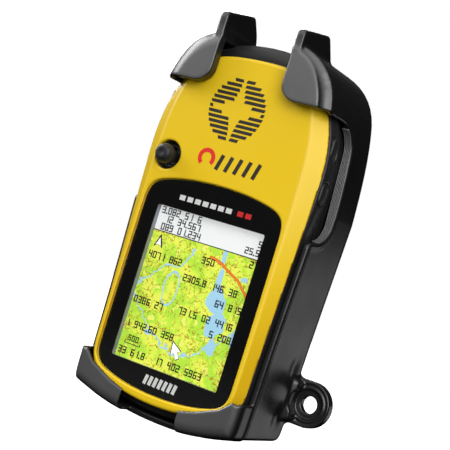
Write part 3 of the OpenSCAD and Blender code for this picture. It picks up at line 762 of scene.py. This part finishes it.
def ear_distance(x, y, z):
    """The eyelet: a round plate with a web and a rib to the wall, a sink and a fine groove."""
    spin = rod(x, z, EAR)
    eye = meet(spin - EAR_R, meet(EAR_Y[0] - y, y - EAR_Y[1], 0.1), 0.45)
    web = block(x, y, z, (WALL_X, EAR_Y[0], EAR[1] - EAR_R),
                (EAR[0], EAR_Y[1], EAR[1] + EAR_R), 0.45)
    rib = block(x, y, z, (WALL_X + 0.1, 24.2, EAR[1] - EAR_RIB_Z),
                (28.6, 29.5, EAR[1] + EAR_RIB_Z), 0.9)
    ear = join(either(eye, web), rib, 0.9)
    ear = cut(ear, both(spin - EAR_SINK_R, y - (EAR_Y[0] + EAR_SINK)), 0.3)
    groove = both(np.abs(spin - EAR_GROOVE_R) - 0.28, np.abs(y - EAR_Y[0]) - 0.35)
    return cut(ear, both(groove, 29 - x), 0.12)


def finish_cradle(body, x, y, z, ax):
    """Tabs, ear, screw holes and the latch opening."""
    body = join(body, tab_distance(x, ax, y, z), 0.8)
    body = join(body, np.where(x > 0, ear_distance(x, y, z), 50.0), 1.6)
    body = cut(body, both(rod(x, z, EAR, EAR_HOLE_R), 24 - y), 0.25)
    body = cut(body, rod(x, z, (0, LATCH_Z), LATCH_HOLE_R), 0.5)
    away = np.hypot(ax - HOLE_X, np.abs(z) - HOLE_Z)
    head = both(away - HEAD_R, y - (BACK_Y - PLATE + HEAD_SINK))
    return cut(body, both(either(away - HOLE_R, head), 20 - y), 0.2)


def bend_with(piece):
    """Bakes the piece's placement into its mesh."""
    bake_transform(piece)


def build_cradle(step):
    """One moulding, cut at x = 0 into a left and a right half."""
    verts, faces = surface(cradle_field, (-30, -5, -37), (39, 34.5, 81), step)
    middle = verts[faces][:, :, 0].mean(1)
    halves = (("cradle_left", middle < 0, "arm_left", ("cradle_body", "cradle_plate", "arm_left")),
              ("cradle_right", middle >= 0, "arm_right", ("arm_right",)))
    for name, chosen, arm, nodes in halves:
        piece = mesh_object(name, *part_of(verts, faces, chosen))
        piece.data.materials.append(MATERIALS["cradle_black"])
        bend_with(piece)
        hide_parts(*nodes)


def tube(name, path, r, sides=6):
    """A round line along points in millimetres."""
    path = [Vector(p) for p in path]
    points, side = [], None
    for i, p in enumerate(path):
        along = (path[min(i + 1, len(path) - 1)] - path[max(i - 1, 0)]).normalized()
        side = side - along * side.dot(along) if i else along.orthogonal()
        side.normalize()
        up = along.cross(side)
        for k in range(sides):
            a = 2 * math.pi * k / sides
            points.append(p + (side * math.cos(a) + up * math.sin(a)) * r)
    faces = [(i + k, i + (k + 1) % sides, i + sides + (k + 1) % sides, i + sides + k)
             for i in range(0, len(points) - sides, sides) for k in range(sides)]
    faces.append(tuple(range(sides))[::-1])
    faces.append(tuple(range(len(points) - sides, len(points))))
    return mesh_object(name, points, faces)


def build_rim_lines():
    """Fine raised lines along the front-facing edge of the window in each arm, in a lighter grey
    that paints the highlight these ridges catch.
    """
    # Painted highlight: the ridges are a lighter grey than the black moulding
    highlight_grey = plastic("rim_painted_highlight", (0.11, 0.11, 0.112), 0.3, 0.3, 0.1)
    wall = chain(CRADLE_LINE)
    for side, arm in ((-1, "arm_left"), (1, "arm_right")):
        for k in range(RIM_LINES):
            inset = 0.55 + RIM_PITCH * k
            path = [(side * (half_width(wall, z) - inset), y + 0.06, z)
                    for y, z in FRONT_CUT[10:-4]]
            piece = tube(f"rim_line_{k}_{arm[4:]}", path, RIM_LINE_R)
            piece.data.materials.append(highlight_grey)
            bend_with(piece)


# ---------------------------------------------------------------- case

LENS_GAP = 0.06
BAND_REAR_Y = 9.3
BAND_GROOVES = (5.0, 8.1)
KEY_Y = 6.3
KEY_HALF = (1.7, 3.1)
KEY_OUT = 0.3
KEYS = {"key_zoom_in": (-1, 51.0), "key_zoom_out": (-1, 43.5), "key_menu": (-1, 29.5),
        "key_page": (1, 48.0), "key_power": (1, 36.0)}
BACK_R = 6.5
DOOR_X, DOOR_Z, DOOR_GAP = 16, (-27.5, 43), 0.15
DOOR_SEAT_Y = 28.2
RING_SEAT_R, RING_SEAT_Y = 8.8, 28.85
HUB_HOLE_R = 1.68
BEYOND_Y = 35


def cover_field(x, y, z):
    """Yellow cover: flat face, slanted border, short straight edge, openings."""
    slope_end = COVER_EDGE - 0.3
    t = np.clip(y / slope_end, 0, 1)
    side = ((1 - t) * face_d(x, z) + t * cover_d(x, z)) * 0.85
    body = meet(meet(side, -y, 0.55), y - COVER_EDGE, 0.2)
    body = cut(body, both(side + 1.7, 1.6 - y), 0.2)
    body = cut(body, both(lens_d(x, z) - LENS_GAP, y - 1.3), 0.18)
    opening = both(np.abs(x) - SCREEN_W / 2 - 1, np.abs(z) - SCREEN_H / 2 - 1)
    body = cut(body, opening, 0.2)
    return cut(body, rod(x, z, STICK, STICK_HOLE_R), 0.35)


def side_band_field(x, y, z):
    """Rubber band: rolls out from the cover's edge and carries two shallow grooves."""
    front = COVER_EDGE + 0.1
    t = np.clip((y - front) / 2.4, 0, 1)
    roll = np.sqrt(1 - (1 - t) ** 2)
    outer = (1 - roll) * (cover_d(x, z) - 0.1) + roll * (band_d(x, z) + 0.03)
    grooves = sum(0.28 * np.exp(-((y - at) / 0.32) ** 2) for at in BAND_GROOVES)
    body = meet(meet(outer + grooves, front - y, 0.15), y - BAND_REAR_Y, 0.7)
    body = cut(body, cover_d(x, z) + 1.45, 0.2)
    for s, height in KEYS.values():
        hole = key_profile(y, z, height, 0.14)
        body = cut(body, both(hole, 15 - s * x), 0.25)
    return body


def key_profile(y, z, height, grow):
    """Upright stadium outline of a side key in YZ."""
    reach = both(np.abs(z - height) - (KEY_HALF[1] - KEY_HALF[0]), 0)
    return np.hypot(y - KEY_Y, reach) - KEY_HALF[0] - grow


def build_key(node, side, height):
    """Rubber key from its switch's clearance to just outside the band."""
    start = min(abs(corner.x) for corner in node_mm(node)) + 0.05
    end = float(half_width(chain(BAND_LINE), height)) + KEY_OUT

    def field(x, y, z):
        out = side * x
        off_y, off_z = y - KEY_Y, z - height
        dome = 0.35 * np.clip((off_y / KEY_HALF[0]) ** 2 + (off_z / KEY_HALF[1]) ** 2, 0, 1.5)
        body = meet(key_profile(y, z, height, -0.02), out - end + dome, 0.45)
        body = both(body, start - out)
        pip = both(np.hypot(off_y, off_z) - 0.45, start + 1 - out)
        return join(body, meet(pip, out - end - 0.12, 0.15), 0.15)

    near, far = sorted((side * (start - 0.3), side * (end + 0.5)))
    shell_piece(f"{node}_pad", field, (near, 4.2, height - 3.6), (far, 8.4, height + 3.6), 0.16,
                node, "rubber_black", node)


def ring_seat(x, y, z):
    """Round recess that the latch ring turns and folds into."""
    return both(rod(x, z, (0, LATCH_Z), RING_SEAT_R), RING_SEAT_Y - y)


def rear_housing_field(x, y, z):
    """Back shell with its battery bay, door seat, latch hole and USB pocket."""
    body = meet(meet(rear_d(x, z), y - CASE_DEPTH, BACK_R), BAND_REAR_Y + 0.1 - y, 0.3)
    inner = meet(rear_d(x, z) + WALL, y - DOOR_SEAT_Y, 5.0)
    keep = either(block(x, y, z, (-16.4, 12.7, -16.6), (16.4, BEYOND_Y, 42)),
                      block(x, y, z, (-9, 26.4, 45.6), (9, BEYOND_Y, 60.4)))
    body = cut(body, both(inner, -keep), 0.2)
    bay = block(x, y, z, (-15.2, 13.9, -15.4), (15.2, 31, 40.8))
    seat = block(x, y, z, (-DOOR_X, DOOR_SEAT_Y, DOOR_Z[0]), (DOOR_X, 31, DOOR_Z[1]))
    hub = both(rod(x, z, (0, LATCH_Z), 2.2), 20 - y)
    for hollow in (bay, seat, hub):
        body = cut(body, hollow, 0.2)
    body = cut(body, ring_seat(x, y, z), 0.25)
    pocket = block(x, y, z, (-7.3, 28.25, 46.7), (7.3, 31, 59.6), 0.3)
    plug = block(x, y, z, (-4.9, 24, 48.5), (4.9, 29, 54.8), 0.3)
    ridges = sum(0.25 * np.exp(-((y - at) / 0.35) ** 2) for at in (12.4, 14.4, 16.4))
    return cut(cut(body + ridges, pocket, 0.25), plug, 0.2)


def door_field(x, y, z):
    """Battery door: rounded at the foot, with finger ribs and a round seat for the ring."""
    plate = block(x, y, z, (-DOOR_X + DOOR_GAP, 28.35, DOOR_Z[0] + DOOR_GAP),
                  (DOOR_X - DOOR_GAP, 32, DOOR_Z[1] - DOOR_GAP), 0.5)
    body = both(meet(rear_d(x, z), y - CASE_DEPTH, BACK_R), plate)
    body = cut(body, ring_seat(x, y, z), 0.25)
    body = cut(body, rod(x, z, (0, LATCH_Z), HUB_HOLE_R), 0.1)
    for k in range(5):
        rib = rod(y, z, (CASE_DEPTH + 0.1, 36 - 1.7 * k), 0.45)
        body = cut(body, both(rib, np.abs(x) - 9), 0.15)
    return body


def knob_field(x, y, z):
    """Click stick: a ball with a dished top on a stem."""
    spin = rod(x, z, STICK)
    ball = np.sqrt(spin ** 2 + (y + 1.1) ** 2) - 2.8
    dish = np.sqrt(spin ** 2 + (y + 7.3) ** 2) - 4.1
    ball = cut(ball, dish, 0.5)
    stem = both(spin - 1.5, np.abs(y - 2.2) - 2.5)
    neck = both(spin - 1.0, np.abs(y - 4.95) - 0.35)
    return join(ball, either(stem, neck), 0.6)


def seal_field(x, y, z):
    """Rubber bellows around the stem, behind the hole."""
    spin = rod(x, z, STICK)
    wave = 0.2 * np.cos(spin * 3.2)
    return both(both(np.abs(y - 2.4 - wave) - 0.28, spin - 5.2), 2.6 - spin)


def build_case(step):
    """Each row: name, field, box, cell size, body, slot and the CAD node it stands for."""
    for row in (
            ("yellow_cover", cover_field, (-28, -0.7, -32), (28, 4.6, 68), step * 0.85,
             ROOT, "yellow_cover", "front_cover"),
            ("rubber_band", side_band_field, (-30, 3.2, -34), (30, 10, 72.5), step,
             ROOT, "rubber_black", "side_band"),
            ("back_shell", rear_housing_field, (-27, 8.8, -34), (27, 31, 71), step * 1.25,
             ROOT, "case_black", "rear_housing"),
            ("door_skin", door_field, (-17, 27.5, -29), (17, 31, 44), step,
             ROOT, "case_black", "battery_door"),
            ("stick_ball", knob_field, (-22, -4.4, 31.6), (-15, 5.8, 38.8), 0.2,
             "stick_knob", "rubber_black", "stick_knob"),
            ("stick_bellows", seal_field, (-24.4, 1.6, 29.4), (-12.6, 3.4, 41), 0.2,
             ROOT, "rubber_black", "stick_seal")):
        shell_piece(*row)
    for node, (side, height) in KEYS.items():
        build_key(node, side, height)


# ---------------------------------------------------------------- lens, screen and print

def plate_mesh(name, outline, y0, y1, hole=None, edge=0.0):
    """A flat plate from an outline in XZ, with an optional hole and a bevelled front edge."""
    mesh = bmesh.new()
    rings = [[mesh.verts.new(to_row((x, y0, z))) for x, z in loop]
             for loop in filter(None, (outline, hole))]
    edges = [mesh.edges.new((ring[i - 1], ring[i])) for ring in rings for i in range(len(ring))]
    bmesh.ops.triangle_fill(mesh, use_beauty=True, edges=edges)
    top = list(mesh.faces)
    bmesh.ops.recalc_face_normals(mesh, faces=top)
    if top[0].normal.y > 0:
        bmesh.ops.reverse_faces(mesh, faces=top)
    made = bmesh.ops.extrude_face_region(mesh, geom=top)
    moved = [v for v in made["geom"] if isinstance(v, bmesh.types.BMVert)]
    bmesh.ops.translate(mesh, verts=moved, vec=(0, (y1 - y0) * MM, 0))
    bmesh.ops.recalc_face_normals(mesh, faces=mesh.faces)
    data = bpy.data.meshes.new(name)
    mesh.to_mesh(data)
    mesh.free()
    piece = in_scene(name, data)
    if edge:
        bevel = piece.modifiers.new("edge", "BEVEL")
        bevel.width = edge * MM
        bevel.segments = 3
        bevel.limit_method = "ANGLE"
        bevel.angle_limit = math.radians(40)
    return piece


def round_rect(x0, z0, x1, z1, r):
    """Outline of a rectangle with round corners."""
    points, steps = [], 6
    for cx, cz, start in ((x1 - r, z1 - r, 0), (x0 + r, z1 - r, 90),
                          (x0 + r, z0 + r, 180), (x1 - r, z0 + r, 270)):
        for k in range(steps + 1):
            a = math.radians(start + 90 * k / steps)
            points.append((cx + r * math.cos(a), cz + r * math.sin(a)))
    return points


def inset_outline(points, d):
    """The whole outline, counted round from its right half, moved inwards by about d."""
    half = chain(points)
    line = half + [(-x, z) for x, z in half[-2:0:-1]]
    wide = max(x for x, _ in line)
    low, high = min(z for _, z in line), max(z for _, z in line)
    mid, tall = (low + high) / 2, (high - low) / 2
    return [(x * (wide - d) / wide, mid + (z - mid) * (tall - d) / tall) for x, z in line]


MAP_Y = 3.05
# Depth and thickness of the print on the face and under the lens
FACE_MARK = (-0.04, 0.08)
LENS_MARK = (0.98, 0.05)


def build_display():
    half_w, half_h = SCREEN_W / 2, SCREEN_H / 2
    window = round_rect(-half_w, -half_h, half_w, half_h, 0.5)
    pane = plate_mesh("lens_pane", inset_outline(LENS_LINE, 0.05), 0.12, 0.86, edge=0.22)
    dress(pane, ROOT, "clear_lens", "lens")
    mask = plate_mesh("lens_print", inset_outline(LENS_LINE, 0.12), 1.06, 1.3, window)
    dress(mask, ROOT, "mask_black", "lens_mask")
    corners = [(-18.6, -22.9), (18.6, -22.9), (18.6, 24.1), (-18.6, 24.1)]
    dress(plate_mesh("map_panel", corners, MAP_Y, 3.2), ROOT, "screen", "lcd_panel")
    wall = round_rect(-18.4, -22.7, 18.4, 23.9, 0.5)
    inner = round_rect(-half_w - 0.05, -half_h - 0.05, half_w + 0.05, half_h + 0.05, 0.3)
    tray = plate_mesh("panel_tray", wall, 1.4, MAP_Y - 0.02, inner)
    dress(tray, ROOT, "case_black", material=printed("tray_grey", (0.20, 0.21, 0.25), 0.35))


def strokes(name, polygons, y, thick, slot, material):
    """Several flat filled shapes as one thin piece."""
    points, faces = [], []
    for shape in polygons:
        area = sum(a[0] * b[1] - b[0] * a[1] for a, b in zip(shape, shape[1:] + shape[:1]))
        shape = shape if area > 0 else shape[::-1]
        start, n = len(points), len(shape)
        points += [(x, y, z) for x, z in shape] + [(x, y + thick, z) for x, z in shape]
        faces.append([start + i for i in range(n)])
        faces.append([start + n + i for i in range(n - 1, -1, -1)])
        faces += [(start + i, start + n + i, start + n + (i + 1) % n, start + (i + 1) % n)
                  for i in range(n)]
    piece = mesh_object(name, points, faces, smooth=False)
    work = bmesh.new()
    work.from_mesh(piece.data)
    bmesh.ops.recalc_face_normals(work, faces=work.faces)
    bmesh.ops.triangulate(work, faces=[f for f in work.faces if len(f.verts) > 4])
    work.to_mesh(piece.data)
    work.free()
    dress(piece, ROOT, slot, material=material)


SEGMENTS = {"0": "abcdef", "1": "bc", "2": "abged", "3": "abgcd", "4": "fgbc", "5": "afgcd",
            "6": "afgedc", "7": "abc", "8": "abcdefg", "9": "abcdfg"}
BARS = {"a": ((0, 2), (1, 2)), "b": ((1, 2), (1, 1)), "c": ((1, 1), (1, 0)), "d": ((0, 0), (1, 0)),
        "e": ((0, 0), (0, 1)), "f": ((0, 1), (0, 2)), "g": ((0, 1), (1, 1))}


def bar(a, b, w):
    """A straight stroke of width w."""
    ax, az = a
    bx, bz = b
    length = math.hypot(bx - ax, bz - az) or 1
    ux, uz = (bx - ax) / length * w / 2, (bz - az) / length * w / 2
    return [(ax - ux + uz, az - uz - ux), (bx + ux + uz, bz + uz - ux),
            (bx + ux - uz, bz + uz + ux), (ax - ux - uz, az - uz + ux)]


def number(text, x, z, high, w):
    """Plain digits made of straight strokes, from the left foot of the first one."""
    unit, gap, shapes = high / 2, 0.35, []
    for ch in text:
        for s in SEGMENTS.get(ch, ""):
            (a, b), (c, d) = BARS[s]
            shapes.append(bar((x + a * unit, z + b * unit), (x + c * unit, z + d * unit), w))
        if ch == ".":
            shapes.append(bar((x, z), (x + 0.02, z), w * 1.4))
        x += w + gap if ch == "." else unit + 0.75 * w + gap
    return shapes


def bar_row(count, pitch, a, b, w):
    """Equal strokes side by side."""
    return [bar((a[0] + pitch * k, a[1]), (b[0] + pitch * k, b[1]), w) for k in range(count)]


# Meaningless digits: header rows, map labels and the scale bar's value
HEADER = (("12 34.567", -14.6, 17.4, 1.65), ("089 01.234", -15.2, 15.1, 1.65),
          ("3.082 51 6", -16.4, 19.6, 1.65), ("5", 15.4, 18.0, 1.55), ("25.5", 12.0, 15.6, 1.55))
LABELS = (("4071 862", -16.4, 7.0), ("350", 0.4, 9.6), ("2305.8 146 38", -3.6, 3.6),
          ("64 815 0", 8.2, -0.4), ("731.5 02 4416", -2.0, -5.2), ("5 208.3", 9.2, -8.6),
          ("0386 27", -16.6, -6.0), ("1 942.60 358", -16.8, -12.8),
          ("17 402 5963", -4.4, -20.2), ("33 61.8", -16.6, -20.4), ("27", 14.6, 12.2))
NEEDLE_X = -14.4
SCALE_X, SCALE_Z = (-15.4, -10.4), -17.5


def build_screen_marks():
    """Digits, pointer, scale bar and north arrow drawn over the map."""
    y = MAP_Y - 0.06
    dark = glow("mark_dark", (0.01, 0.01, 0.02), 0.0)
    white = glow("mark_white", (0.95, 0.95, 0.95), 0.5)
    digits = []
    for text, x, z, high in HEADER:
        digits += number(text, x, z, high, 0.3)
    for text, x, z in LABELS:
        digits += number(text, x, z, 1.65, 0.31)
    digits += number("500", -14.6, -16.6, 1.4, 0.26)
    digits.append(bar((SCALE_X[0], SCALE_Z), (SCALE_X[1], SCALE_Z), 0.2))
    digits += [bar((x, SCALE_Z), (x, SCALE_Z + 0.6), 0.2) for x in SCALE_X]
    needle = [(NEEDLE_X, 13.9), (NEEDLE_X + 1.5, 10.0), (NEEDLE_X, 10.9), (NEEDLE_X - 1.5, 10.0)]
    inner = [(NEEDLE_X + (x - NEEDLE_X) * 0.6, 11.2 + (z - 11.2) * 0.62) for x, z in needle]
    tip = (-0.6, -13.0)
    arrow = [(0, 0), (0.35, -3.4), (1.15, -2.7), (2.2, -4.3), (3.0, -3.7), (2.0, -2.2), (3.1, -1.9)]
    grown = [(tip[0] - 0.3 + x * 1.16, tip[1] + 0.45 + z * 1.16) for x, z in arrow]
    arrow = [(tip[0] + x, tip[1] + z) for x, z in arrow]
    strokes("map_digits", digits + [needle], y, 0.05, "screen", dark)
    strokes("north_pointer", [inner], y - 0.05, 0.04, "screen", white)
    strokes("pointer_edge", [grown], y - 0.05, 0.04, "screen", dark)
    strokes("pointer", [arrow], y - 0.1, 0.04, "screen", white)


def rose():
    """Compass star: rows of stripes in a circle, open along a star's middle."""
    (cx, cz), r, rows = (-1.6, 51.4), 8.8, 13
    half_high, lean, stripes = 0.44, 0.3, []
    for k in range(rows):
        z = cz + r * (1 - 2 * (k + 0.5) / rows)
        away = abs(z - cz)
        half = math.sqrt(r * r - away ** 2)
        gap = 7.4 - 2.4 * away if away < 2.2 else 0.35 + 2.4 * (1 - away / r) ** 2
        if half - gap <= 0.8:
            continue
        for side in (-1, 1):
            a, b = cx + side * gap, cx + side * (half - 0.1)
            stripes.append([(a, z - half_high), (b - side * lean, z - half_high),
                            (b, z + half_high), (a + side * lean, z + half_high)])
    return stripes


def arc(centre, r):
    """Open ring's edge, most of the way round."""
    turns = [math.radians(-40 + 13 * k) for k in range(22)]
    return [(centre[0] + r * math.cos(a), centre[1] + r * math.sin(a)) for a in turns]


def build_print():
    """Generic marks on the yellow face and under the lens."""
    ink = printed("print_dark", (0.018, 0.014, 0.010), 0.45)
    red = printed("print_red", (0.62, 0.018, 0.008), 0.45)
    # Painted light: the light grey and red print under the lens glows faintly, though print gives
    # no light
    light = glow("print_painted_glow", (0.78, 0.78, 0.76), 0.05)
    red_glow = glow("print_red_painted_glow", (0.62, 0.02, 0.02), 0.1)
    ring = arc((-6.2, 37.1), 2.7) + arc((-6.2, 37.1), 1.5)[::-1]
    dashes = bar_row(5, 2.9, (-2.3, 35.1), (-1.4, 38.3), 1.15)
    ticks = bar_row(7, 2.5, (-10.4, 24.9), (-10.0, 24.9), 1.4)
    red_ticks = bar_row(2, 2.5, (8.2, 24.9), (8.6, 24.9), 1.4)
    foot = bar_row(7, 1.56, (-4.4, -25.5), (-4.1, -23.9), 1.0)
    strokes("rose_stripes", rose(), *FACE_MARK, "yellow_cover", ink)
    strokes("trail_ring", [ring], *FACE_MARK, "yellow_cover", red)
    strokes("trail_dashes", dashes, *FACE_MARK, "yellow_cover", ink)
    strokes("lens_ticks", ticks, *LENS_MARK, "mask_black", light)
    strokes("lens_ticks_red", red_ticks, *LENS_MARK, "mask_black", red_glow)
    strokes("foot_marks", foot, *LENS_MARK, "mask_black", light)


# ---------------------------------------------------------------- stage

def area_light(name, place, target, size, power):
    lamp = bpy.data.lights.new(name, "AREA")
    lamp.shape = "RECTANGLE"
    lamp.size, lamp.size_y = size
    lamp.energy = power
    holder = in_scene(name, lamp)
    holder.location = place
    holder.rotation_euler = (Vector(target) - Vector(place)).to_track_quat("-Z", "Y").to_euler()


def build_world():
    """White behind the object, and a soft studio that is bright in front and above only."""
    world = bpy.context.scene.world = bpy.data.worlds.new("studio")
    n = Nodes("studio", world, "Background")
    where = n.where["Generated"]
    _, axis_y, axis_z = n.split(where)

    def rise(value, start, end, low, high):
        ramp = n.add("ShaderNodeMapRange", interpolation_type="SMOOTHSTEP", From_Min=start,
                     From_Max=end, To_Min=low, To_Max=high)
        n.link(value, ramp.inputs["Value"])
        return ramp.outputs["Result"]

    above = rise(axis_z, 0.08, 0.5, 0.05, 1.2)
    behind = rise(axis_y, -0.1, 0.65, 1.0, 0.16)
    rear_right = n.add("ShaderNodeVectorMath", operation="DOT_PRODUCT")
    rear_right.inputs[1].default_value = (0.7, 0.7, 0.0)
    n.link(where, rear_right.inputs[0])
    aside = rise(rear_right.outputs["Value"], 0.15, 0.6, 1.0, 0.1)
    choose = n.add("ShaderNodeMix")
    n.link(n.add("ShaderNodeLightPath").outputs["Is Camera Ray"], choose.inputs[0])
    n.link(n.times(n.times(above, behind), aside), choose.inputs[2])
    choose.inputs[3].default_value = 1.0
    n.set("Strength", choose.outputs[0])
    n.set("Color", (1, 1, 1))


def build_floor():
    """A pale sheet well below the object."""
    floor_z, reach = -0.16, 3.0
    sheet = bpy.data.meshes.new("floor")
    corners = [(-reach, -reach), (reach, -reach), (reach, reach), (-reach, reach)]
    sheet.from_pydata([(x, y, floor_z) for x, y in corners], [], [(0, 1, 2, 3)])
    floor = in_scene("floor", sheet)
    pale = Nodes("floor_pale")
    pale.set("Base Color", pale.mix(pale.noise(3.0), (0.5, 0.5, 0.5), (0.52, 0.52, 0.52)))
    pale.set("Roughness", 0.9)
    pale.set("Emission Color", (1, 1, 1))
    pale.set("Emission Strength", 1.0)
    sheet.materials.append(pale.material)
    floor.visible_diffuse = False
    floor.visible_glossy = False


def build_stage():
    """The camera that was fitted to the photo, the floor, the world and four lamps."""
    camera = bpy.data.cameras.new("camera")
    camera.lens = 96
    camera.sensor_width = 36
    camera.clip_start = 0.01
    holder = in_scene("camera", camera)
    holder.matrix_world = Matrix(((0.8348, -0.2489, 0.4912, 0.1615),
                                  (0.4628, -0.1660, -0.8708, -0.3096),
                                  (0.2982, 0.9542, -0.0234, 0.0136),
                                  (0, 0, 0, 1)))
    bpy.context.scene.camera = holder
    build_floor()
    build_world()
    middle = (0.0, -0.015, 0.02)
    area_light("key", (0.36, -0.44, 0.18), middle, (0.40, 0.44), 2.5)
    area_light("left", (-0.52, -0.17, 0.28), middle, (0.26, 0.26), 2.0)
    area_light("back_left", (-0.38, 0.42, 0.24), middle, (0.3, 0.3), 4.0)
    area_light("wall_panel", (0.20, 0.34, -0.09), (0.027, -0.01, -0.01), (0.16, 0.22), 0.08)
    bpy.context.scene.view_settings.view_transform = "Standard"


STEP = 0.4
dress_frame()
build_cradle(STEP)
build_rim_lines()
build_case(STEP)
build_display()
build_screen_marks()
build_print()
build_stage()
